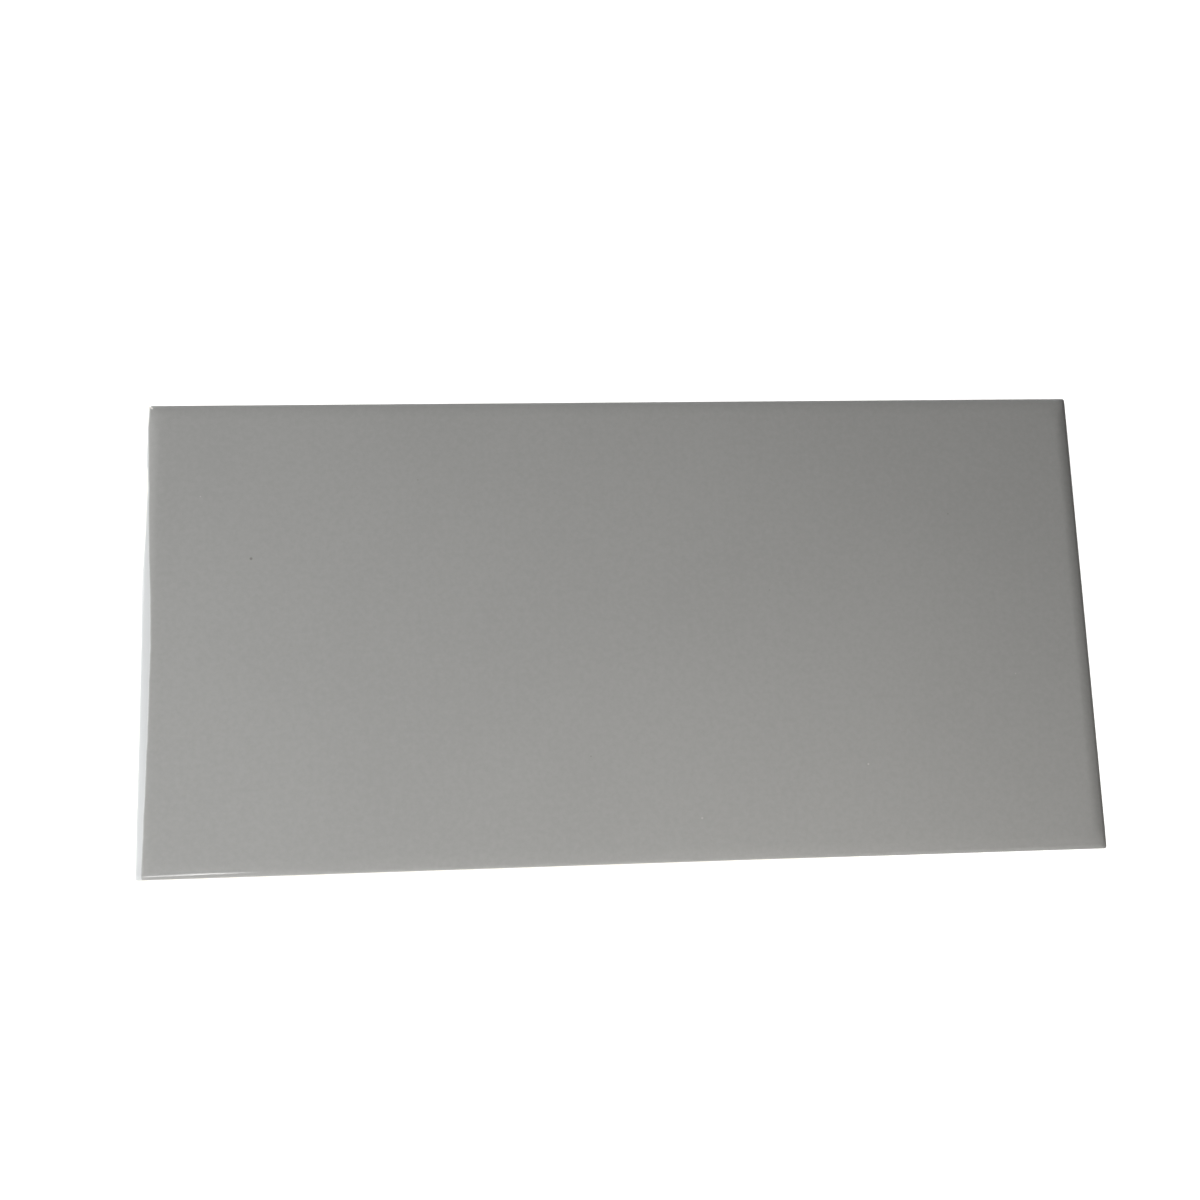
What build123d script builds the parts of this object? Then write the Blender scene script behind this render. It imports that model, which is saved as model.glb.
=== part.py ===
from build123d import *
from math import radians, tan
import os

# Plain glazed wall tile, dust-pressed and fired as one piece.
# Millimetres, glazed face up. X runs along the length and Y along the width.
# The origin is the middle of the plane that the crowns of the back ribs lie in.

# Overall size
tile_length = 200.0
tile_width = 98.4
tile_thickness = 8.0
corner_radius = 0.5

# Rolled edge of the face: a wide, shallow arc falls from the flat field to the
# rim, and a rounded arris turns the rim over into the side
roll_width = 3.5
roll_drop = 0.6
arris_radius = 1.4

# Edge of the back
back_chamfer = 0.5

# Key ribs on the back, which grip the adhesive. The margins are the bare back at
# their ends and the least bare back beside the outer ribs
rib_height = 0.8
rib_crown_width = 3.0
rib_flank_angle = 30.0
rib_pitch = 12.0
rib_end_margin = 6.0
rib_side_margin = 5.0

# Levels and counts that follow from the sizes
back_level = rib_height
rim_level = tile_thickness - roll_drop
rib_root_width = rib_crown_width + 2 * rib_height * tan(radians(rib_flank_angle))
rib_length = tile_length - 2 * rib_end_margin
rib_span = tile_width - 2 * rib_side_margin - rib_root_width
rib_count = int(rib_span // rib_pitch) + 1


def section_between_edges(section_plane, edge_to_edge):
    """The tile's section from one edge to the opposite one, without the ribs."""
    edge = edge_to_edge / 2
    field_end = (edge - roll_width, tile_thickness)
    rim = (edge, rim_level)
    with BuildSketch(section_plane) as section:
        with BuildLine():
            Polyline(rim, (edge, back_level), (0, back_level), (0, tile_thickness), field_end)
            TangentArc(field_end, rim, tangent=(1, 0))
        make_face()
        back_corner, rim_corner = section.vertices().group_by(Axis.X)[-1].sort_by(Axis.Y)
        chamfer(back_corner, length=back_chamfer)
        fillet(rim_corner, radius=arris_radius)
        mirror(about=Plane.YZ)
    return section.sketch


with BuildPart() as wall_tile:
    # The plan outline, cut to the long section and then to the cross section,
    # so that the rolled edges meet in mitres at the corners
    with BuildSketch(Plane.XY.offset(back_level)):
        RectangleRounded(tile_length, tile_width, corner_radius)
    extrude(amount=tile_thickness - back_level)
    long_section = section_between_edges(Plane.XZ, tile_length)
    extrude(long_section, amount=tile_width, both=True, mode=Mode.INTERSECT)
    cross_section = section_between_edges(Plane.YZ, tile_width)
    extrude(cross_section, amount=tile_length, both=True, mode=Mode.INTERSECT)

    # Ribs with sloping flanks and rounded ends, which narrow away from the back
    with BuildSketch(Plane((0, 0, back_level), z_dir=(0, 0, -1))):
        with GridLocations(tile_length, rib_pitch, 1, rib_count):
            SlotOverall(rib_length, rib_root_width)
    extrude(amount=rib_height, taper=rib_flank_angle)

wall_tile.part.label = "wall_tile"

os.makedirs("parts", exist_ok=True)
export_step(wall_tile.part, "parts/wall_tile.step")
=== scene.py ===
"""A pressed and fired wall tile with a grey gloss glaze, lying face up on a pale studio floor.

The body is one closed mesh. Rings of points run round the tile, from a spine in the middle of the
face, over the rolled edge and the arris, down the side walls and round to the back, and a finer
grid carries the key ribs. Metres, +Z out of the glazed face, +X along the tile's length.
"""

import math
import random

import bmesh
import bpy
import numpy as np
from bpy.props import FloatProperty, FloatVectorProperty, IntProperty, PointerProperty
from bpy.types import Operator, Panel, PropertyGroup
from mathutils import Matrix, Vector, noise


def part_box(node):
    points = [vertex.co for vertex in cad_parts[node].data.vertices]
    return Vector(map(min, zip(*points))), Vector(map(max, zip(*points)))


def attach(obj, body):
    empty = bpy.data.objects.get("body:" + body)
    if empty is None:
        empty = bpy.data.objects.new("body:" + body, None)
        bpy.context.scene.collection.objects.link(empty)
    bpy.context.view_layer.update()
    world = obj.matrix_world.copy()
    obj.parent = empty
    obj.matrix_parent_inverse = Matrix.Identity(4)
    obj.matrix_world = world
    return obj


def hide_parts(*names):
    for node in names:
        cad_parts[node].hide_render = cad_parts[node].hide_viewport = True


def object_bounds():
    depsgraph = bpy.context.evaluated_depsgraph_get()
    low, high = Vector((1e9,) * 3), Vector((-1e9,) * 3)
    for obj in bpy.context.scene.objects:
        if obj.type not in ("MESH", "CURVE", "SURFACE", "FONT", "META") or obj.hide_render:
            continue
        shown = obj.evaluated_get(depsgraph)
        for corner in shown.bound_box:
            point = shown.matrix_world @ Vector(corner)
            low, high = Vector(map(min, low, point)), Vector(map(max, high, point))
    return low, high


bl_info = {
    "name": "Glazed Wall Tile",
    "version": (1, 0, 0),
    "blender": (4, 5, 0),
    "location": "View3D > Sidebar > Tile",
    "description": "Presses, glazes and fires one wall tile, and sets it in a plain studio",
    "category": "Add Mesh",
}

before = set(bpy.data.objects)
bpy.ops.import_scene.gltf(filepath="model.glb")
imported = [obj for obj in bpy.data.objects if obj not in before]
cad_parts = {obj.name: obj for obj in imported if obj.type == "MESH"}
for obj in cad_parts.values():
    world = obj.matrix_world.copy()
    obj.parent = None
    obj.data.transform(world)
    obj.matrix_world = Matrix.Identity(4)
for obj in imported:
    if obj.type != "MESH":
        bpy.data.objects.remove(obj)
cad_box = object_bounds()
node_low, node_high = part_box("wall_tile")

WHITE = (1.0, 1.0, 1.0, 1.0)


class TileFormSettings(PropertyGroup):
    """Sizes of the pressed body, the same as those of the solid part."""

    roll_width: FloatProperty(
        name="Roll Width", description="How far in from the rim the face begins to roll down",
        default=0.0035, unit="LENGTH", subtype="DISTANCE")
    roll_drop: FloatProperty(
        name="Roll Drop", description="How far the rolled face falls from the flat field to the rim",
        default=0.0006, unit="LENGTH", subtype="DISTANCE")
    arris_radius: FloatProperty(
        name="Arris Radius", description="Radius between the rolled face and the side wall",
        default=0.0014, unit="LENGTH", subtype="DISTANCE")
    corner_radius: FloatProperty(
        name="Corner Radius", description="Radius of the four corners, seen from above",
        default=0.0005, unit="LENGTH", subtype="DISTANCE")
    corner_softness: FloatProperty(
        name="Corner Softness", description="How fast the corners open up from the rim to the field",
        default=0.8, min=0.0, max=1.0)
    back_chamfer: FloatProperty(
        name="Back Chamfer", description="Bevel between the side walls and the back",
        default=0.0005, unit="LENGTH", subtype="DISTANCE")
    rib_height: FloatProperty(
        name="Rib Height", description="How far the key ribs stand out of the back",
        default=0.0008, unit="LENGTH", subtype="DISTANCE")
    rib_crown_width: FloatProperty(
        name="Rib Crown Width", description="Width of a rib's flat crown",
        default=0.0030, unit="LENGTH", subtype="DISTANCE")
    rib_flank_angle: FloatProperty(
        name="Rib Flank Angle", description="Slope of a rib's flanks, from upright",
        default=math.radians(30.0), unit="ROTATION", subtype="ANGLE")
    rib_pitch: FloatProperty(
        name="Rib Pitch", description="Distance from one rib to the next",
        default=0.0120, unit="LENGTH", subtype="DISTANCE")
    rib_count: IntProperty(
        name="Rib Count", description="How many ribs cross the back", default=8, min=1)
    rib_end_margin: FloatProperty(
        name="Rib End Margin", description="Bare back beyond the ends of the ribs",
        default=0.0060, unit="LENGTH", subtype="DISTANCE")


class GlazeEdgeSettings(PropertyGroup):
    """Where the glaze stops on each side of the tile."""

    thickness: FloatProperty(
        name="Glaze Thickness", description="Depth of the step from the glaze down to the bare body",
        default=0.00013, unit="LENGTH", subtype="DISTANCE")
    bare_left: FloatProperty(
        name="Bare Left Edge", description="Usual width of bare body along the left edge, from above",
        default=0.00090, unit="LENGTH", subtype="DISTANCE")
    bare_bottom: FloatProperty(
        name="Bare Bottom Edge", description="Width of bare body along the bottom edge, from above",
        default=0.00018, unit="LENGTH", subtype="DISTANCE")
    side_lap: FloatProperty(
        name="Side Lap", description="How far the glaze runs down the top and right side walls",
        default=0.00040, unit="LENGTH", subtype="DISTANCE")
    wander: FloatProperty(
        name="Wander", description="How far the glaze's edge strays from its line",
        default=0.00012, unit="LENGTH", subtype="DISTANCE")
    thin_width: FloatProperty(
        name="Thin Glaze Width", description="Width of the pale, thin glaze inside its edge",
        default=0.00012, unit="LENGTH", subtype="DISTANCE")
    wiped_width: FloatProperty(
        name="Wiped Glaze Width", description="Greatest width of the thin glaze on the left edge",
        default=0.00200, unit="LENGTH", subtype="DISTANCE")


# How closely the mesh follows the tile: steps along the long sides, the short sides and each corner
LONG_STEPS, SHORT_STEPS, CORNER_STEPS = 320, 158, 8
# Insets of the rings on the flat field, closer together towards the roll
FIELD_RINGS = (0.040, 0.028, 0.019, 0.013, 0.0095, 0.0072, 0.0056, 0.0047)
# The roll and the side wall have a coarse and a fine stretch each. The fine ones lie beside the arris
FINE_ROLL, FINE_WALL = 0.0017, 0.0013
ROLL_STEPS, FINE_ROLL_STEPS, ARRIS_STEPS, FINE_WALL_STEPS, WALL_STEPS = 4, 16, 20, 11, 7
# Stations of the back chamfer: the share of it that is passed, and how far the surface faces down
CHAMFER_STATIONS = ((0.0, 15), (0.12, 35), (0.5, 45), (0.88, 55), (1.0, 75))
# Insets of the last rings beyond the chamfer, and of the ribbed grid's outer line
BACK_RINGS = (0.0004, 0.0012, 0.0024)
GRID_INSET = 0.0046
# Lines of the ribbed grid: shares of a crown's half width and of the space between two ribs, the gap
# beside a rib's root and the least gap to the grid's own end, and the number of lines on a flank,
# round a rib's end and on half a rib
CROWN_LINES, SPACE_LINES = (0.0, 0.5, 0.85), (0.3, 0.5, 0.7)
ROOT_GAP, END_GAP = 0.0003, 0.0001
FLANK_LINES, RIB_END_LINES, HALF_RIB_LINES = 5, 18, 41

# The relief of the coat: the share of the glaze's step that thin glaze makes, the widths over which
# thin and full glaze rise, and the share of the step's depth that stays on upright walls
THIN_SHARE, THIN_LIP, FULL_LIP, WALL_STEP_SHARE = 0.45, 0.00022, 0.00030, 0.35
# The relief of the body: depths of the grain and of the back's pitting, and noise cycles per metre
GRAIN_DEPTH, PITTING_DEPTH = 0.000018, 0.00002
GRAIN_CYCLES, FINE_GRAIN_CYCLES, PITTING_CYCLES = 900.0, 2100.0, 420.0
# Small knocks on the back edge: how many, the share of them on the long sides, and the ranges of
# their radius and depth
CHIP_COUNT, LONG_SIDE_CHIPS = 26, 0.6
CHIP_RADIUS, CHIP_DEPTH = (0.0004, 0.0013), (0.00006, 0.00022)
CHIP_SEED = 11
# Noise along the glaze's edge, as cycles per metre and a shift that tells one from the next
DRIPS, LONG_WAVES, SHORT_WAVES, WIPED_WAVES = (90.0, 5.0), (220.0, 1.0), (700.0, 2.0), (260.0, 7.0)

# The left edge, where the wet glaze was wiped back before firing. For heights along the edge, from
# the top corner down: the bare body as a share of its usual width, and the thin glaze as a share
# of its greatest width. Towards the lower end, where the edge lay in shade, the narrower bare body
# and the wider thin glaze are partly painted shade.
WIPED_EDGE = (
    (0.0492, 0.86, 0.07), (0.0470, 0.78, 0.08), (0.0455, 0.70, 0.10), (0.0440, 0.64, 0.10),
    (0.0410, 0.59, 0.15), (0.0380, 0.51, 0.26), (0.0362, 0.54, 0.25), (0.0350, 0.92, 0.12),
    (0.0340, 1.00, 0.10), (0.0310, 1.20, 0.11), (0.0280, 1.04, 0.18), (0.0260, 1.02, 0.22),
    (0.0225, 0.96, 0.31), (0.0190, 0.78, 0.47), (0.0157, 0.58, 0.64), (0.0123, 0.30, 0.87),
    (0.0080, 0.28, 1.00), (0.0030, 0.48, 1.00), (-0.0030, 0.70, 0.98), (-0.0150, 0.86, 0.90),
    (-0.0300, 0.98, 0.76), (-0.0420, 1.04, 0.64), (-0.0490, 1.14, 0.56),
)
# The bottom edge. For places along it, from left to right: the bare body as a share of its width
BOTTOM_EDGE = ((-0.100, 0.90), (0.030, 0.85), (0.060, 0.15), (0.100, 0.0))
# Specks melted into the glaze: place on the face, radius and tone
SPECKS = (
    (-0.0774, 0.0156, 0.00040, 0.17),
    (0.0499, -0.0302, 0.00030, 0.36),
    (0.0145, -0.0402, 0.00030, 0.34),
    (-0.0080, -0.0270, 0.00020, 0.20),
    (0.0710, 0.0230, 0.00020, 0.19),
    (-0.0430, 0.0320, 0.00018, 0.20),
    (0.0310, 0.0070, 0.00016, 0.20),
    (-0.0880, 0.0290, 0.00018, 0.36),
    (0.0830, -0.0120, 0.00018, 0.35),
)
# A nick in the glaze across its top left corner: both ends and half the width
CORNER_NICK = ((-0.09945, 0.04915), (-0.09858, 0.04838), 0.00016)


class TileFinishSettings(PropertyGroup):
    """Colours and gloss of the glaze and the fired body."""

    glaze_colour: FloatVectorProperty(
        name="Glaze Colour", description="The grey of the melted glaze",
        default=(0.2615, 0.2620, 0.2555), subtype="COLOR", min=0.0, max=1.0)
    thin_colour: FloatVectorProperty(
        name="Thin Glaze Colour", description="The grey where the body shows through thin glaze",
        default=(0.435, 0.445, 0.450), subtype="COLOR", min=0.0, max=1.0)
    body_colour: FloatVectorProperty(
        name="Body Colour", description="The off-white of the bare fired body",
        default=(0.69, 0.67, 0.635), subtype="COLOR", min=0.0, max=1.0)
    glaze_roughness: FloatProperty(
        name="Glaze Roughness", description="Blur of the reflections in the glaze",
        default=0.10, min=0.0, max=1.0)
    body_roughness: FloatProperty(
        name="Body Roughness", description="Roughness of the bare fired body",
        default=0.78, min=0.0, max=1.0)


class StudioSettings(PropertyGroup):
    """The floor, the lights and the camera."""

    floor_colour: FloatVectorProperty(
        name="Floor Colour", description="Colour of the studio floor",
        default=(0.93, 0.93, 0.925), subtype="COLOR", min=0.0, max=1.0)
    floor_light: FloatProperty(
        name="Floor Light", description="Strength of the light that falls on the floor alone",
        default=3.1, min=0.0)
    air_light: FloatProperty(
        name="Air Light", description="Strength of the faint light from all round",
        default=0.045, min=0.0)
    camera_place: FloatVectorProperty(
        name="Camera Place", description="Where the camera stands",
        default=(-0.02253, -0.03474, 0.25635), unit="LENGTH", subtype="XYZ")
    camera_turn: FloatVectorProperty(
        name="Camera Turn", description="How the camera is turned",
        default=tuple(math.radians(angle) for angle in (9.303, -3.722, -1.712)),
        unit="ROTATION", subtype="EULER")
    camera_lens: FloatProperty(
        name="Camera Lens", description="Focal length for a 36 mm wide picture, in millimetres",
        default=36.0, min=1.0)


# The tile's section, from the middle of the face round to the back

def face_rings(form, half_width):
    """Insets of the rings on the flat field, from the spine outwards."""
    return [inset for inset in (half_width, *FIELD_RINGS) if inset > form.roll_width]


class Section:
    """The stations of the tile's section: inset from the side, height, and the outward normal."""

    def __init__(self, form, half_width, top, back):
        self.inset, self.height, self.normal, self.reach = [], [], [], []
        roll_radius = (form.roll_width ** 2 + form.roll_drop ** 2) / (2 * form.roll_drop)
        arris = form.arris_radius
        start = math.asin((form.roll_width - arris) / (roll_radius - arris))
        arris_centre = top - roll_radius + (roll_radius - arris) * math.cos(start)
        self.roll_radius, self.arris_start = roll_radius, start
        self.arris_length = arris * (math.pi / 2 - start)
        roll_length = roll_radius * start

        for inset in face_rings(form, half_width):
            self.add(inset, top, (0.0, 1.0), -roll_length - (inset - form.roll_width))
        coarse = np.linspace(0.0, roll_length - FINE_ROLL, ROLL_STEPS + 1)[:-1]
        fine = np.linspace(roll_length - FINE_ROLL, roll_length, FINE_ROLL_STEPS + 1)[:-1]
        for run in (*coarse, *fine):
            slope = run / roll_radius
            inset = form.roll_width - roll_radius * math.sin(slope)
            height = top - roll_radius * (1 - math.cos(slope))
            self.add(inset, height, (math.sin(slope), math.cos(slope)), run - roll_length)
        for slope in np.linspace(start, math.pi / 2, ARRIS_STEPS + 1):
            inset = arris * (1 - math.sin(slope))
            height = arris_centre + arris * math.cos(slope)
            self.add(inset, height, (math.sin(slope), math.cos(slope)), arris * (slope - start))
        foot = back + form.back_chamfer
        wall = arris_centre - foot
        upper = np.linspace(0, FINE_WALL, FINE_WALL_STEPS + 1)[1:]
        lower = np.linspace(FINE_WALL, wall, WALL_STEPS + 1)[1:-1]
        for drop in (*upper, *lower):
            self.add(0.0, arris_centre - drop, (1.0, 0.0), self.arris_length + drop)
        for share, tilt in CHAMFER_STATIONS:
            normal = (math.cos(math.radians(tilt)), -math.sin(math.radians(tilt)))
            fall = share * form.back_chamfer
            self.add(fall, foot - fall, normal, self.arris_length + wall + fall)
        for extra in BACK_RINGS:
            self.add(form.back_chamfer + extra, back, (0.0, -1.0), self.reach[-1] + extra)

    def add(self, inset, height, normal, reach):
        self.inset.append(inset)
        self.height.append(height)
        self.normal.append(normal)
        self.reach.append(reach)

    def reach_at_inset(self, inset, form):
        """The distance from the arris's start, along the section, of a point seen from above."""
        arris = form.arris_radius
        if inset < arris * (1 - math.sin(self.arris_start)):
            return arris * (math.asin(1 - inset / arris) - self.arris_start)
        slope = math.asin((form.roll_width - inset) / self.roll_radius)
        return -self.roll_radius * (self.arris_start - slope)


def ring_outline(form, half_length, half_width, inset):
    """One ring: points round a rounded rectangle, anticlockwise, with outward directions."""
    along, across = half_length - inset, half_width - inset
    radius = min(form.corner_radius + form.corner_softness * max(inset, 0.0), 0.45 * across)
    corners = ((1, 1, 0.0), (-1, 1, 90.0), (-1, -1, 180.0), (1, -1, 270.0))
    points, outward = [], []
    for index, (sx, sy, turn) in enumerate(corners):
        centre = np.array((sx * (along - radius), sy * (across - radius)))
        for step in range(CORNER_STEPS + 1):
            angle = math.radians(turn + 90.0 * step / CORNER_STEPS)
            direction = np.array((math.cos(angle), math.sin(angle)))
            points.append(centre + radius * direction)
            outward.append(direction)
        nsx, nsy, next_turn = corners[(index + 1) % 4]
        next_centre = np.array((nsx * (along - radius), nsy * (across - radius)))
        end = next_centre + radius * np.array(
            (math.cos(math.radians(next_turn)), math.sin(math.radians(next_turn))))
        count = (LONG_STEPS, SHORT_STEPS)[index % 2]
        begin, direction = points[-1], outward[-1]
        for step in range(1, count):
            points.append(begin + (end - begin) * step / count)
            outward.append(direction)
    return np.array(points), np.array(outward)


def side_shares(outward):
    """How much each outline point belongs to the right, top, left and bottom side."""
    x, y = outward[:, 0], outward[:, 1]
    return [np.maximum(v, 0.0) ** 2 for v in (x, y, -x, -y)]


def wander_along(points, cycles, shift):
    """Smooth noise round the outline, about -1 to 1."""
    start = Vector((shift, 2.0 * shift, 0.0))
    return 2.0 * np.array([noise.noise(Vector((x * cycles, y * cycles, 0.0)) + start) for x, y in points])


def glaze_border(edge, form, section, outline, outward):
    """How far along the section the glaze runs at each outline point, but for the wiped edge."""
    right, top, left, bottom = side_shares(outward)
    lap = section.arris_length + edge.side_lap
    drips = np.maximum(wander_along(outline, *DRIPS), 0.0) ** 2 * edge.side_lap
    places, shares = zip(*BOTTOM_EDGE)
    bottom_reach = np.array([section.reach_at_inset(edge.bare_bottom * share, form)
                             for share in np.interp(outline[:, 0], places, shares)])
    stray = 0.6 * wander_along(outline, *LONG_WAVES) + 0.4 * wander_along(outline, *SHORT_WAVES)
    stray = edge.wander * stray * (0.25 + 0.75 * (right + top + left))
    return (right + top + left) * (lap + drips) + bottom * bottom_reach + stray


def wiped_edge(edge, half_length, ring):
    """How far each point of a ring lies inside the wiped glaze and inside the full glaze."""
    heights, bare_shares, thin_shares = (np.array(column)[::-1] for column in zip(*WIPED_EDGE))
    stray = wander_along(np.column_stack([np.zeros(len(ring)), ring[:, 1]]), *WIPED_WAVES)
    bare = edge.bare_left * np.interp(ring[:, 1], heights, bare_shares) + 0.3 * edge.wander * stray
    wiped = edge.wiped_width * np.interp(ring[:, 1], heights, thin_shares)
    inside = ring[:, 0] + half_length - bare
    nick = beside_nick(ring)
    return np.minimum(inside, nick), np.minimum(inside - wiped, nick)


def beside_nick(ring):
    """How far each point of a ring lies from the nick in the glaze's corner."""
    start, end, half_width = (np.array(part) for part in CORNER_NICK)
    line = end - start
    share = np.clip((ring - start) @ line / (line @ line), 0.0, 1.0)
    return np.linalg.norm(ring - start - share[:, None] * line, axis=1) - half_width


def lip(distance, width):
    """The rounded rise of melted glaze from its edge."""
    share = np.clip(distance / width, 0.0, 1.0)
    return 1.0 - (1.0 - share) ** 2


def chip_list(half_length, half_width, height):
    """Small knocks on the bare back edge: centre, radius and depth."""
    dice = random.Random(CHIP_SEED)
    chips = []
    for _ in range(CHIP_COUNT):
        if dice.random() < LONG_SIDE_CHIPS:
            place = (dice.uniform(-half_length, half_length), dice.choice((-1, 1)) * half_width, height)
        else:
            place = (dice.choice((-1, 1)) * half_length, dice.uniform(-half_width, half_width), height)
        chips.append((np.array(place), dice.uniform(*CHIP_RADIUS), dice.uniform(*CHIP_DEPTH)))
    return chips


def rib_rise(form, half_length, x, y):
    """How far the ribbed back stands out at a point, as a share of the rib height."""
    crown = form.rib_crown_width / 2
    root = crown + form.rib_height * math.tan(form.rib_flank_angle)
    reach = half_length - form.rib_end_margin - root
    first = -form.rib_pitch * (form.rib_count - 1) / 2
    nearest = np.clip(np.round((y - first) / form.rib_pitch), 0, form.rib_count - 1)
    from_line = y - (first + nearest * form.rib_pitch)
    beyond = np.maximum(np.abs(x) - reach, 0.0)
    share = np.clip((root - np.hypot(beyond, from_line)) / (root - crown), 0.0, 1.0)
    return 0.5 * share + 0.5 * share * share * (3 - 2 * share)


def back_lines(form, half_length, half_width):
    """Grid lines of the back, close together where the ribs rise and end."""
    crown = form.rib_crown_width / 2
    root = crown + form.rib_height * math.tan(form.rib_flank_angle)
    first = -form.rib_pitch * (form.rib_count - 1) / 2
    offsets = [share * crown for share in CROWN_LINES]
    offsets += [*np.linspace(crown, root, FLANK_LINES), root + ROOT_GAP]
    ys = set()
    for index in range(form.rib_count):
        middle = first + index * form.rib_pitch
        ys.update(round(middle + side * offset, 7) for offset in offsets for side in (-1, 1))
        if index < form.rib_count - 1:
            ys.update(round(middle + form.rib_pitch * share, 7) for share in SPACE_LINES)
    grid_end = half_width - GRID_INSET
    ys = [-grid_end, *sorted(y for y in ys if abs(y) < grid_end - END_GAP), grid_end]
    rib_end = half_length - form.rib_end_margin
    ends = np.linspace(rib_end - root - ROOT_GAP, rib_end + ROOT_GAP, RIB_END_LINES)
    xs = [*np.linspace(0.0, ends[0], HALF_RIB_LINES + 1)[:-1], *ends, half_length - GRID_INSET]
    xs = sorted({round(side * x, 7) for x in xs for side in (-1, 1)})
    return np.array(xs), np.array(ys)


def sunk_depth(edge, points, upward, glazed, fully, chips):
    """How far points sink below the full glaze: its step, the body's grain and the knocks."""
    coat = THIN_SHARE * lip(glazed, THIN_LIP) + (1.0 - THIN_SHARE) * lip(fully, FULL_LIP)
    step = edge.thickness * (WALL_STEP_SHARE + (1.0 - WALL_STEP_SHARE) * max(upward, 0.0) ** 0.5)
    bare = np.clip(1.0 - coat, 0.0, 1.0)
    grain = np.array([
        noise.noise(Vector(p * GRAIN_CYCLES)) + 0.6 * noise.noise(Vector(p * FINE_GRAIN_CYCLES))
        for p in points])
    sink = step * (1.0 - coat) + GRAIN_DEPTH * bare * np.clip(1.0 + grain, 0.0, 2.0)
    for centre, radius, depth in chips:
        away = np.linalg.norm(points - centre, axis=1) / radius
        sink = sink + depth * np.clip(1.0 - away, 0.0, 1.0) ** 0.7 * bare
    return sink


def coated_rings(form, edge, section, half_length, half_width, back):
    """The points of each ring, and how far they lie inside the glaze and inside the full glaze."""
    outline, outward = ring_outline(form, half_length, half_width, 0.0)
    border = glaze_border(edge, form, section, outline, outward)
    chips = chip_list(half_length, half_width, back + 0.5 * form.back_chamfer)
    rings, reach_values, full_values = [], [], []
    for inset, height, normal, reach in zip(section.inset, section.height, section.normal, section.reach):
        ring, directions = ring_outline(form, half_length, half_width, inset)
        points = np.column_stack([ring, np.full(len(ring), height)])
        normals = np.column_stack([directions * normal[0], np.full(len(ring), normal[1])])
        wiped, full = wiped_edge(edge, half_length, ring)
        glazed = np.minimum(border - reach, wiped)
        fully = np.minimum(border - edge.thin_width - reach, full)
        sink = sunk_depth(edge, points, normal[1], glazed, fully, chips)
        rings.append(points - normals * sink[:, None])
        reach_values.append(glazed)
        full_values.append(fully)
    return rings, reach_values, full_values


def back_grid(form, half_length, half_width, back):
    """The points of the ribbed back, and how many there are along and across it."""
    xs, ys = back_lines(form, half_length, half_width)
    gx, gy = np.meshgrid(xs, ys, indexing="ij")
    pitting = [noise.noise(Vector((x, y, 0.0)) * PITTING_CYCLES) for x, y in zip(gx.ravel(), gy.ravel())]
    pits = PITTING_DEPTH * (1.0 + np.array(pitting).reshape(gx.shape))
    inside = np.zeros(gx.shape, bool)
    inside[1:-1, 1:-1] = True
    gz = back - form.rib_height * rib_rise(form, half_length, gx, gy) + np.where(inside, pits, 0.0)
    return np.column_stack([gx.ravel(), gy.ravel(), gz.ravel()]), len(xs), len(ys)


def ring_faces(ring_count, ring_size):
    """Four-sided faces between each ring and the next."""
    faces = []
    for ring in range(ring_count - 1):
        inner, outer = ring * ring_size, (ring + 1) * ring_size
        for i in range(ring_size):
            j = (i + 1) % ring_size
            faces.append((inner + i, outer + i, outer + j, inner + j))
    return faces


def grid_faces(start, rows, columns):
    """Four-sided faces of a grid whose first point has the number start."""
    corners = (start + i * columns + j for i in range(rows - 1) for j in range(columns - 1))
    return [(a, a + 1, a + columns + 1, a + columns) for a in corners]


def grid_rim(start, rows, columns):
    """The points on the grid's rim, in order round it."""
    rim = [start + (rows - 1) * columns + j for j in range(columns)]
    rim += [start + i * columns + columns - 1 for i in range(rows - 2, -1, -1)]
    rim += [start + j for j in range(columns - 2, -1, -1)]
    return rim + [start + i * columns for i in range(1, rows - 1)]


def build_tile_mesh(form, edge):
    """The whole tile as one closed mesh, with the glaze's reach stored on its points."""
    half_length = (node_high.x - node_low.x) / 2
    half_width = (node_high.y - node_low.y) / 2
    top, back = node_high.z, node_low.z + form.rib_height
    section = Section(form, half_width, top, back)
    rings, reach_values, full_values = coated_rings(form, edge, section, half_length, half_width, back)
    grid, rows, columns = back_grid(form, half_length, half_width, back)

    verts = np.concatenate([*rings, grid])
    ring_count, ring_size = len(rings), len(rings[0])
    grid_start = ring_count * ring_size
    last_ring = list(range(grid_start - ring_size, grid_start))
    rim = grid_rim(grid_start, rows, columns)
    faces = ring_faces(ring_count, ring_size) + grid_faces(grid_start, rows, columns)
    faces += zip_loops(verts, starting_right(verts, last_ring), starting_right(verts, rim))

    mesh = bpy.data.meshes.new("glazed_tile")
    mesh.from_pydata(verts.tolist(), [], faces)
    far_from_glaze = np.full(len(grid), -0.01)
    for name, values in (("glaze_reach", reach_values), ("full_reach", full_values)):
        attribute = mesh.attributes.new(name, "FLOAT", "POINT")
        millimetres = np.concatenate([*values, far_from_glaze]) * 1000.0
        attribute.data.foreach_set("value", millimetres.astype(np.float32))

    weld_spine(mesh, ring_size)
    mesh.shade_smooth()
    return mesh


def weld_spine(mesh, ring_size):
    """The first ring has no width, so its points are merged into a line along the face."""
    work = bmesh.new()
    work.from_mesh(mesh)
    work.verts.ensure_lookup_table()
    bmesh.ops.remove_doubles(work, verts=work.verts[:ring_size], dist=0.000001)
    bmesh.ops.recalc_face_normals(work, faces=work.faces)
    work.to_mesh(mesh)
    work.free()


def starting_right(points, loop):
    """The same loop, begun at its first point above the middle of the right side."""
    def angle(i):
        return math.atan2(points[i][1], points[i][0]) % (2 * math.pi)

    first = min(range(len(loop)), key=lambda k: angle(loop[k]))
    return loop[first:] + loop[:first]


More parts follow.
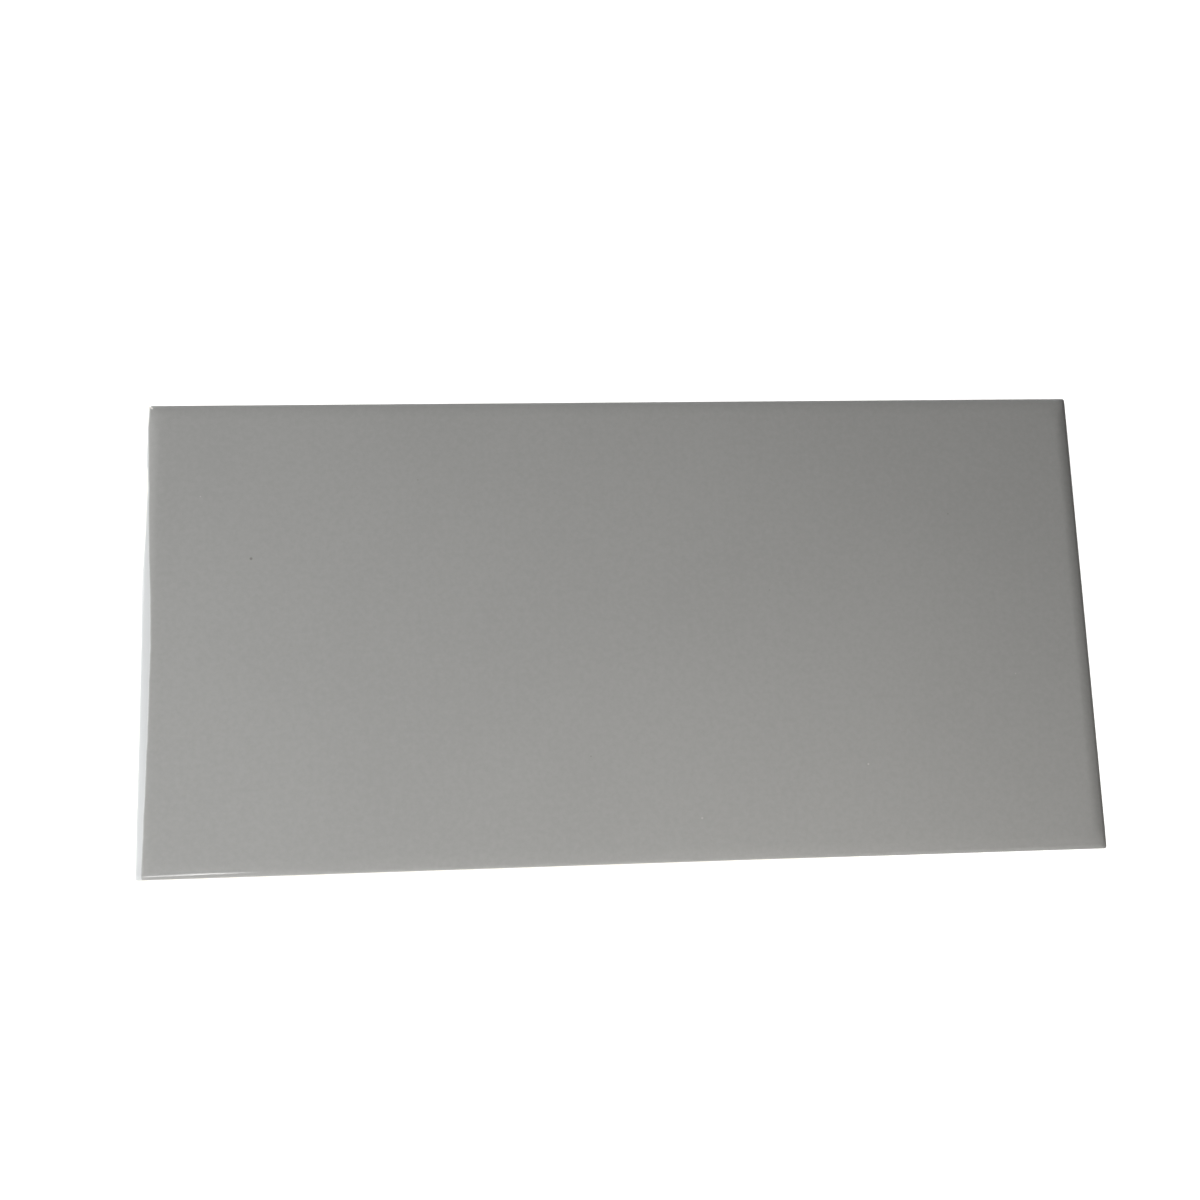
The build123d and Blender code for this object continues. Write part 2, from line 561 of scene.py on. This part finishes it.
def zip_loops(points, outer, inner):
    """Triangles between two loops of points that both run anticlockwise from the same side."""
    def turns(loop):
        angles = np.array([math.atan2(points[i][1] * half_ratio, points[i][0]) for i in loop])
        return np.unwrap(angles)

    half_ratio = max(abs(points[i][0]) for i in outer) / max(abs(points[i][1]) for i in outer)
    outer_turn, inner_turn = turns(outer), turns(inner)
    faces, i, j = [], 0, 0
    while i < len(outer) or j < len(inner):
        next_outer = outer_turn[i + 1] if i + 1 < len(outer) else outer_turn[0] + 2 * math.pi
        next_inner = inner_turn[j + 1] if j + 1 < len(inner) else inner_turn[0] + 2 * math.pi
        a, b = outer[i % len(outer)], inner[j % len(inner)]
        if j >= len(inner) or (i < len(outer) and next_outer <= next_inner):
            faces.append((a, outer[(i + 1) % len(outer)], b))
            i += 1
        else:
            faces.append((a, inner[(j + 1) % len(inner)], b))
            j += 1
    return faces


# The tile's finish

def node(tree, kind, label, place, **inputs):
    """A named node with its unlinked inputs set."""
    made = tree.nodes.new(kind)
    made.label = made.name = label
    made.location = place
    for name, value in inputs.items():
        made.inputs[name.replace("_", " ")].default_value = value
    return made


def maths(tree, operation, label, place, *values, clamp=False):
    """A maths node whose inputs are numbers or sockets."""
    made = node(tree, "ShaderNodeMath", label, place)
    made.operation = operation
    made.use_clamp = clamp
    for socket, value in zip(made.inputs, values):
        if isinstance(value, (int, float)):
            socket.default_value = value
        else:
            tree.links.new(value, socket)
    return made.outputs["Value"]


def mix_colour(tree, label, place, factor, first, second, blend="MIX"):
    """A colour mix whose inputs are colours or sockets."""
    made = tree.nodes.new("ShaderNodeMix")
    made.label = made.name = label
    made.location = place
    made.data_type, made.blend_type = "RGBA", blend
    for index, value in ((0, factor), (6, first), (7, second)):
        if isinstance(value, bpy.types.NodeSocket):
            tree.links.new(value, made.inputs[index])
        elif isinstance(value, (int, float)):
            made.inputs[index].default_value = value
        else:
            made.inputs[index].default_value = (*value, 1.0)
    return made.outputs[2]


def ramp(tree, label, place, source, low, high):
    """A smooth step from 0 at low to 1 at high."""
    made = node(tree, "ShaderNodeMapRange", label, place, From_Min=low, From_Max=high)
    made.interpolation_type = "SMOOTHSTEP"
    tree.links.new(source, made.inputs["Value"])
    return made.outputs["Result"]


def new_group(name, inputs, outputs):
    """An empty shader node group with its sockets and end nodes."""
    group = bpy.data.node_groups.new(name, "ShaderNodeTree")
    for direction, sockets in (("INPUT", inputs), ("OUTPUT", outputs)):
        for socket_name, kind, default in sockets:
            socket = group.interface.new_socket(socket_name, in_out=direction, socket_type=kind)
            if default is not None:
                socket.default_value = default
    start = group.nodes.new("NodeGroupInput")
    end = group.nodes.new("NodeGroupOutput")
    start.location, end.location = (-900, 0), (700, 0)
    return group, start, end


def grain_group():
    """Fine mottle and pits of a dry, powdery surface, in object space."""
    group, start, end = new_group(
        "Powder Grain",
        [("Scale", "NodeSocketFloat", 1000.0), ("Pits", "NodeSocketFloat", 0.3)],
        [("Tone", "NodeSocketFloat", None), ("Height", "NodeSocketFloat", None)])
    place = node(group, "ShaderNodeTexCoord", "Object place", (-700, 200))
    fine = node(group, "ShaderNodeTexNoise", "Fine grain", (-450, 250), Detail=4.0, Roughness=0.62)
    pits = node(group, "ShaderNodeTexVoronoi", "Pinholes", (-450, -100))
    coarse = node(group, "ShaderNodeTexNoise", "Cloudy patches", (-450, -400), Scale=55.0, Detail=3.0)
    for texture in (fine, pits, coarse):
        group.links.new(place.outputs["Object"], texture.inputs["Vector"])
    group.links.new(start.outputs["Scale"], fine.inputs["Scale"])
    pit_scale = maths(group, "MULTIPLY", "Pinhole scale", (-650, -150), start.outputs["Scale"], 0.55)
    group.links.new(pit_scale, pits.inputs["Scale"])
    hole = ramp(group, "Pinhole depth", (-200, -100), pits.outputs["Distance"], 0.30, 0.12)
    hole = maths(group, "MULTIPLY", "Pit strength", (0, -100), hole, start.outputs["Pits"])
    height = maths(group, "SUBTRACT", "Grain less pits", (200, 100), fine.outputs["Fac"], hole)
    cloud = maths(group, "MULTIPLY", "Cloud share", (0, -400), coarse.outputs["Fac"], 0.5)
    # The tone is darker in the pinholes, as painted shade there, wherever Pits is above nought
    tone = maths(group, "MULTIPLY_ADD", "Tone", (350, -200), height, 0.5, cloud)
    group.links.new(tone, end.inputs["Tone"])
    group.links.new(height, end.inputs["Height"])
    return group


def place_group(tree, group, label, place, **inputs):
    """One use of a node group, with its own values."""
    made = tree.nodes.new("ShaderNodeGroup")
    made.node_tree = group
    made.label = made.name = label
    made.location = place
    for name, value in inputs.items():
        made.inputs[name].default_value = value
    return made


# The body in its pits, darker as painted shade, and the glaze's two tones, as shares of their own colour
SHADED_PIT_BODY = (0.90, 0.885, 0.86)
DEEP_GLAZE, PALE_GLAZE = 0.97, 1.03


def glaze_masks(tree, where):
    """Where the glaze and the full glaze lie, from the distances in millimetres inside their edges."""
    reach = node(tree, "ShaderNodeAttribute", "Inside glaze edge", (-1500, 700))
    reach.attribute_name = "glaze_reach"
    full = node(tree, "ShaderNodeAttribute", "Inside full glaze", (-1500, 500))
    full.attribute_name = "full_reach"
    ragged = node(tree, "ShaderNodeTexNoise", "Ragged edge", (-1500, 300), Scale=2600.0, Detail=3.0)
    tree.links.new(where, ragged.inputs["Vector"])
    stray = maths(tree, "MULTIPLY_ADD", "Ragged shift", (-1250, 300), ragged.outputs["Fac"], 0.10, -0.05)
    edge = maths(tree, "ADD", "Ragged glaze edge", (-1050, 600), reach.outputs["Fac"], stray)
    deep = maths(tree, "ADD", "Ragged full edge", (-1050, 450), full.outputs["Fac"], stray)
    glazed = ramp(tree, "Glazed", (-850, 650), edge, -0.02, 0.04)
    covered = ramp(tree, "Fully covered", (-850, 400), deep, -0.10, 0.22)
    return glazed, covered


def body_tones(tree, finish, clay):
    """The off-white of the fired body, with grain and cloudy tone at random, and painted shade in its
    pits: a shade darker and warmer there.
    """
    tone = ramp(tree, "Body tone", (-850, -200), clay.outputs["Tone"], 0.25, 0.75)
    shaded_pits = tuple(c * share for c, share in zip(finish.body_colour, SHADED_PIT_BODY))
    return mix_colour(tree, "Body colour", (-600, -200), tone, shaded_pits, tuple(finish.body_colour))


def glaze_tones(tree, finish, where):
    """The grey of the glaze, cloudy and finely mottled, with a few tiny specks melted into it."""
    cloud = node(tree, "ShaderNodeTexNoise", "Glaze cloud", (-1250, 100),
                 Scale=28.0, Detail=4.0, Roughness=0.55)
    mottle = node(tree, "ShaderNodeTexNoise", "Fine mottle", (-1250, -50),
                  Scale=900.0, Detail=2.0, Roughness=0.75)
    for texture in (cloud, mottle):
        tree.links.new(where, texture.inputs["Vector"])
    clouds = ramp(tree, "Cloudiness", (-1050, 100), cloud.outputs["Fac"], 0.3, 0.7)
    clouds = maths(tree, "MULTIPLY_ADD", "Cloud share", (-1050, 0), clouds, 0.4, -1.0)
    tone = maths(tree, "MULTIPLY_ADD", "Cloud and mottle", (-900, 50), mottle.outputs["Fac"], 2.6, clouds)
    deep, pale = (tuple(c * share for c in finish.glaze_colour) for share in (DEEP_GLAZE, PALE_GLAZE))
    glaze = mix_colour(tree, "Glaze colour", (-750, 100), tone, deep, pale)
    for x, y, radius, grey in SPECKS:
        away = node(tree, "ShaderNodeVectorMath", "From speck", (-750, -450))
        away.operation = "DISTANCE"
        away.inputs[1].default_value = (x, y, node_high.z)
        tree.links.new(where, away.inputs[0])
        dot = ramp(tree, "Speck", (-600, -450), away.outputs["Value"], radius, 0.4 * radius)
        colour = (grey, 0.98 * grey, 0.94 * grey)
        glaze = mix_colour(tree, "Specked glaze", (-400, 100), dot, glaze, colour)
    return glaze


def surface_relief(tree, where, glazed, clay):
    """The surface's normal: soft waves in the glaze, dry grain on the body."""
    waves = node(tree, "ShaderNodeTexNoise", "Glaze waves", (-400, -300),
                 Scale=150.0, Detail=2.0, Roughness=0.4)
    tree.links.new(where, waves.inputs["Vector"])
    wave_height = maths(tree, "MULTIPLY", "Wave height", (-150, -300), waves.outputs["Fac"], 0.10)
    grain_height = maths(tree, "MULTIPLY", "Grain height", (-150, -450), clay.outputs["Height"], 0.45)
    relief = node(tree, "ShaderNodeMix", "Relief", (150, -350))
    relief.data_type = "FLOAT"
    for index, source in ((0, glazed), (2, grain_height), (3, wave_height)):
        tree.links.new(source, relief.inputs[index])
    bump = node(tree, "ShaderNodeBump", "Surface relief", (500, -350), Strength=1.0, Distance=0.0001)
    tree.links.new(relief.outputs[0], bump.inputs["Height"])
    return bump.outputs["Normal"]


def tile_material(finish, grain):
    """Grey glaze over an off-white fired body, divided by the glaze's wandering edge."""
    material = bpy.data.materials.new("Grey glaze on white body")
    material.use_nodes = True
    tree = material.node_tree
    tree.nodes.clear()
    output = node(tree, "ShaderNodeOutputMaterial", "Surface", (1500, 0))
    shader = node(tree, "ShaderNodeBsdfPrincipled", "Glazed tile", (1200, 0), IOR=1.52)
    tree.links.new(shader.outputs["BSDF"], output.inputs["Surface"])
    place = node(tree, "ShaderNodeTexCoord", "Object place", (-1500, 0))
    where = place.outputs["Object"]
    clay = place_group(tree, grain, "Fired body grain", (-1250, -200), Scale=3200.0, Pits=0.45)

    glazed, covered = glaze_masks(tree, where)
    body = body_tones(tree, finish, clay)
    glaze = glaze_tones(tree, finish, where)
    thin = tuple(finish.thin_colour)
    glaze = mix_colour(tree, "Thin to full glaze", (-150, 200), covered, thin, glaze)
    colour = mix_colour(tree, "Body or glaze", (150, 100), glazed, body, glaze)
    tree.links.new(colour, shader.inputs["Base Color"])

    gloss = node(tree, "ShaderNodeMapRange", "Gloss", (400, -50),
                 To_Min=finish.body_roughness, To_Max=finish.glaze_roughness)
    tree.links.new(glazed, gloss.inputs["Value"])
    tree.links.new(gloss.outputs["Result"], shader.inputs["Roughness"])
    tree.links.new(surface_relief(tree, where, glazed, clay), shader.inputs["Normal"])
    return material


class TILE_OT_press_and_glaze(Operator):
    """Press the tile's body, glaze it and set it in place of the plain solid"""

    bl_idname = "tile.press_and_glaze"
    bl_label = "Press and Glaze Tile"

    def execute(self, context):
        scene = context.scene
        mesh = build_tile_mesh(scene.tile_form, scene.tile_glaze_edge)
        tile = bpy.data.objects.new("glazed_tile", mesh)
        scene.collection.objects.link(tile)
        grain = bpy.data.node_groups.get("Powder Grain") or grain_group()
        mesh.materials.append(tile_material(scene.tile_finish, grain))
        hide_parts("wall_tile")
        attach(tile, "root")
        return {"FINISHED"}


# The studio

# Each light's place, size, power and colour, and whether it is mirrored and lights nothing. The others
# give light and aren't mirrored. All of them face the middle of the tile. The strip's reflection is
# the thin glint in the rolled edge
WARM_WHITE = (1.0, 0.965, 0.92)
MAIN_PLACE, SOFT_SIZE = (-0.329, -0.278, 0.200), (0.30, 0.30)
LIGHTS = (
    ("main_light", MAIN_PLACE, SOFT_SIZE, 3.26, WHITE[:3], False),
    ("left_light", (-0.763, 0.594, 0.275), SOFT_SIZE, 11.7, WHITE[:3], False),
    ("low_light", (0.059, -0.137, 0.155), (0.06, 0.06), 0.184, WARM_WHITE, False),
    ("main_softbox", MAIN_PLACE, SOFT_SIZE, 0.70, WHITE[:3], True),
    ("glint_strip", (-0.236, -0.338, 0.383), (0.034, 0.18), 0.27, WHITE[:3], True),
)
SUN_SPREAD = math.radians(70.0)
# The net's distance from the wall, its overlap at both ends, its height and how much it lets through
NET_GAP, NET_OVERLAP, NET_TOP = 0.0012, 0.0016, 0.00645
NET_LETS_THROUGH = (0.38, 0.38, 0.38)
# The floor, and the greys that it has for the light it throws back and for the mirroring glaze: painted
# shade, darker than the floor that the camera sees, with a pale strip of painted bounce light
FLOOR_RADIUS, FLOOR_SIDES = 3.0, 96
SHADED_THROWN_BACK, PAINTED_BOUNCE_STRIP, SHADED_MIRRORED_FLOOR = (0.36,) * 3, (0.95,) * 3, (0.15, 0.15, 0.15, 1.0)
# The gaps to the tile at which the pale strip of painted bounce light on its right begins to fade and
# ends
STRIP_FADES, STRIP_ENDS = 0.006, 0.016
# The brightness of the backdrop, and of the glow that the glaze mirrors near the horizon
BACKDROP, HORIZON_GLOW = 0.92, 0.50
SENSOR_WIDTH = 36.0


def floor_material(colour, grain):
    """Matt pale floor with the faintest powdery grain. The light it throws back up is painted shade, a
    darker grey but for a painted pale strip of bounce light, and the glaze mirrors it darker still, as
    painted shade.
    """
    material = bpy.data.materials.new("Pale floor")
    material.use_nodes = True
    tree = material.node_tree
    shader = tree.nodes["Principled BSDF"]
    shader.inputs["Roughness"].default_value = 0.9
    shader.inputs["Specular IOR Level"].default_value = 0.2
    # The camera sees the pale floor; bounce light and the glaze see painted greys instead: painted shade
    path = node(tree, "ShaderNodeLightPath", "Who sees the floor", (0, 400))
    dull = node(tree, "ShaderNodeBsdfDiffuse", "Painted shade of thrown-back light", (0, 150))
    dark = node(tree, "ShaderNodeBsdfDiffuse", "Painted shade mirrored in the glaze", (0, 0), Color=SHADED_MIRRORED_FLOOR)
    lower = node(tree, "ShaderNodeMixShader", "Thrown back or mirrored", (300, 100))
    mixed = node(tree, "ShaderNodeMixShader", "Floor or its light", (550, 200))
    tree.links.new(painted_bounce_beside_tile(tree), dull.inputs["Color"])
    tree.links.new(path.outputs["Is Glossy Ray"], lower.inputs[0])
    tree.links.new(dull.outputs[0], lower.inputs[1])
    tree.links.new(dark.outputs[0], lower.inputs[2])
    tree.links.new(path.outputs["Is Camera Ray"], mixed.inputs[0])
    tree.links.new(lower.outputs[0], mixed.inputs[1])
    tree.links.new(shader.outputs[0], mixed.inputs[2])
    tree.links.new(mixed.outputs[0], tree.nodes["Material Output"].inputs["Surface"])
    dust = place_group(tree, grain, "Floor grain", (-700, 0), Scale=350.0, Pits=0.0)
    darker = tuple(c * 0.985 for c in colour)
    tint = mix_colour(tree, "Floor colour", (-350, 0), dust.outputs["Tone"], darker, tuple(colour))
    tree.links.new(tint, shader.inputs["Base Color"])
    return material


def painted_bounce_beside_tile(tree):
    """The painted grey shade of the light thrown back, with a pale strip of painted bounce light along
    the tile's right side.
    """
    place = node(tree, "ShaderNodeTexCoord", "Floor place", (-1100, 400))
    split = node(tree, "ShaderNodeSeparateXYZ", "Along and across", (-900, 400))
    tree.links.new(place.outputs["Object"], split.inputs[0])
    gap = maths(tree, "SUBTRACT", "Gap to the tile", (-700, 400), split.outputs["X"], node_high.x)
    on_right = maths(tree, "GREATER_THAN", "Right of the tile", (-500, 550), gap, 0.0)
    close = ramp(tree, "Close to the tile", (-500, 400), gap, STRIP_ENDS, STRIP_FADES)
    strip = maths(tree, "MULTIPLY", "Painted bounce strip", (-300, 450), close, on_right)
    return mix_colour(tree, "Thrown back", (-150, 400), strip, SHADED_THROWN_BACK, PAINTED_BOUNCE_STRIP)


def area_light(scene, name, place, size, power, colour, mirrored_only):
    """A soft rectangular light that faces the middle of the tile."""
    lamp = bpy.data.lights.new(name, "AREA")
    lamp.shape = "RECTANGLE"
    lamp.size, lamp.size_y = size
    lamp.energy = power
    lamp.color = colour
    made = bpy.data.objects.new(name, lamp)
    made.location = place
    made.rotation_euler = (-Vector(place)).to_track_quat("-Z", "Y").to_euler()
    made.visible_glossy = mirrored_only
    made.visible_diffuse = not mirrored_only
    scene.collection.objects.link(made)


def floor_sun(scene, floor, strength):
    """A wide light from straight above that falls on the floor alone, to keep it white."""
    lamp = bpy.data.lights.new("floor_sun", "SUN")
    lamp.energy = strength
    lamp.angle = SUN_SPREAD
    made = bpy.data.objects.new("floor_sun", lamp)
    made.location = (0.0, 0.0, 1.0)
    scene.collection.objects.link(made)
    lit = bpy.data.collections.new("Lit by the floor sun")
    lit.objects.link(floor)
    made.light_linking.receiver_collection = lit


def light_net(scene):
    """A grey net in front of the left end wall, which takes most of the low light off it.

    Its top lies under the arris, so the face and the arris keep all their light. Only the light's
    own rays meet it: it is neither seen nor mirrored.
    """
    x = node_low.x - NET_GAP
    y = node_high.y + NET_OVERLAP
    floor = cad_box[0].z
    mesh = bpy.data.meshes.new("light_net")
    corners = [(x, -y, floor), (x, y, floor), (x, y, NET_TOP), (x, -y, NET_TOP)]
    mesh.from_pydata(corners, [], [(0, 1, 2, 3)])
    material = bpy.data.materials.new("Grey net")
    material.use_nodes = True
    tree = material.node_tree
    tree.nodes.clear()
    net = node(tree, "ShaderNodeBsdfTransparent", "Light let through", (0, 0),
               Color=(*NET_LETS_THROUGH, 1.0))
    output = node(tree, "ShaderNodeOutputMaterial", "Surface", (250, 0))
    tree.links.new(net.outputs["BSDF"], output.inputs["Surface"])
    mesh.materials.append(material)
    made = bpy.data.objects.new("light_net", mesh)
    made.visible_camera = made.visible_glossy = False
    made.visible_diffuse = made.visible_transmission = False
    scene.collection.objects.link(made)


def studio_air(strength):
    """Faint light from all round, with a plain pale backdrop for the camera."""
    world = bpy.data.worlds.new("Studio air")
    world.use_nodes = True
    tree = world.node_tree
    tree.nodes.clear()
    path = node(tree, "ShaderNodeLightPath", "Seen by the camera", (-800, 300))
    way = node(tree, "ShaderNodeTexCoord", "Direction", (-1100, -100))
    rise = node(tree, "ShaderNodeSeparateXYZ", "Height of the direction", (-900, -100))
    tree.links.new(way.outputs["Generated"], rise.inputs[0])
    low = ramp(tree, "Near the horizon", (-700, -100), rise.outputs["Z"], 0.55, 0.0)
    glow = maths(tree, "MULTIPLY", "Mirrored glow", (-500, -50), low, path.outputs["Is Glossy Ray"])
    glow = maths(tree, "MULTIPLY_ADD", "Strength of the air", (-350, 0), glow, HORIZON_GLOW, strength)
    faint = node(tree, "ShaderNodeBackground", "Faint light", (-200, 0), Color=WHITE)
    tree.links.new(glow, faint.inputs["Strength"])
    white = node(tree, "ShaderNodeBackground", "Pale backdrop", (-200, -150),
                 Color=WHITE, Strength=BACKDROP)
    mixed = node(tree, "ShaderNodeMixShader", "Backdrop or light", (0, 0))
    output = node(tree, "ShaderNodeOutputWorld", "Air", (200, 0))
    tree.links.new(path.outputs["Is Camera Ray"], mixed.inputs[0])
    tree.links.new(faint.outputs[0], mixed.inputs[1])
    tree.links.new(white.outputs[0], mixed.inputs[2])
    tree.links.new(mixed.outputs[0], output.inputs["Surface"])
    return world


def lay_floor(scene, colour):
    """A round pale floor under the tile."""
    mesh = bpy.data.meshes.new("studio_floor")
    work = bmesh.new()
    bmesh.ops.create_circle(work, cap_ends=True, segments=FLOOR_SIDES, radius=FLOOR_RADIUS)
    work.to_mesh(mesh)
    work.free()
    floor = bpy.data.objects.new("studio_floor", mesh)
    floor.location.z = cad_box[0].z
    scene.collection.objects.link(floor)
    grain = bpy.data.node_groups.get("Powder Grain") or grain_group()
    mesh.materials.append(floor_material(colour, grain))
    return floor


def set_camera(scene, studio):
    """The camera, where the photograph was taken from."""
    camera = bpy.data.cameras.new("photo_camera")
    camera.sensor_width = SENSOR_WIDTH
    camera.lens = studio.camera_lens
    camera.clip_start = 0.01
    stand = bpy.data.objects.new("photo_camera", camera)
    stand.location = studio.camera_place
    stand.rotation_euler = studio.camera_turn
    scene.collection.objects.link(stand)
    scene.camera = stand


class TILE_OT_build_studio(Operator):
    """Lay the pale floor, hang the soft lights and set up the camera"""

    bl_idname = "tile.build_studio"
    bl_label = "Build Studio"

    def execute(self, context):
        scene = context.scene
        studio = scene.tile_studio
        floor = lay_floor(scene, studio.floor_colour)
        for light in LIGHTS:
            area_light(scene, *light)
        floor_sun(scene, floor, studio.floor_light)
        light_net(scene)
        scene.world = studio_air(studio.air_light)
        set_camera(scene, studio)
        scene.view_settings.view_transform = "Standard"
        return {"FINISHED"}


class TILE_PT_workshop(Panel):
    """Steps and settings for the tile"""

    bl_idname = "TILE_PT_workshop"
    bl_label = "Wall Tile"
    bl_space_type = "VIEW_3D"
    bl_region_type = "UI"
    bl_category = "Tile"

    def draw(self, context):
        scene = context.scene
        column = self.layout.column()
        column.operator(TILE_OT_press_and_glaze.bl_idname)
        column.operator(TILE_OT_build_studio.bl_idname)
        for settings in (scene.tile_form, scene.tile_glaze_edge, scene.tile_finish, scene.tile_studio):
            box = column.box()
            for name in settings.__annotations__:
                box.prop(settings, name)


SETTINGS = {
    "tile_form": TileFormSettings,
    "tile_glaze_edge": GlazeEdgeSettings,
    "tile_finish": TileFinishSettings,
    "tile_studio": StudioSettings,
}
TOOLS = (TILE_OT_press_and_glaze, TILE_OT_build_studio, TILE_PT_workshop)


def register():
    for kind in (*SETTINGS.values(), *TOOLS):
        bpy.utils.register_class(kind)
    for name, kind in SETTINGS.items():
        setattr(bpy.types.Scene, name, PointerProperty(type=kind))


def unregister():
    for name in SETTINGS:
        delattr(bpy.types.Scene, name)
    for kind in reversed((*SETTINGS.values(), *TOOLS)):
        bpy.utils.unregister_class(kind)


def main():
    register()
    bpy.ops.tile.press_and_glaze()
    bpy.ops.tile.build_studio()


if __name__ == "__main__":
    main()
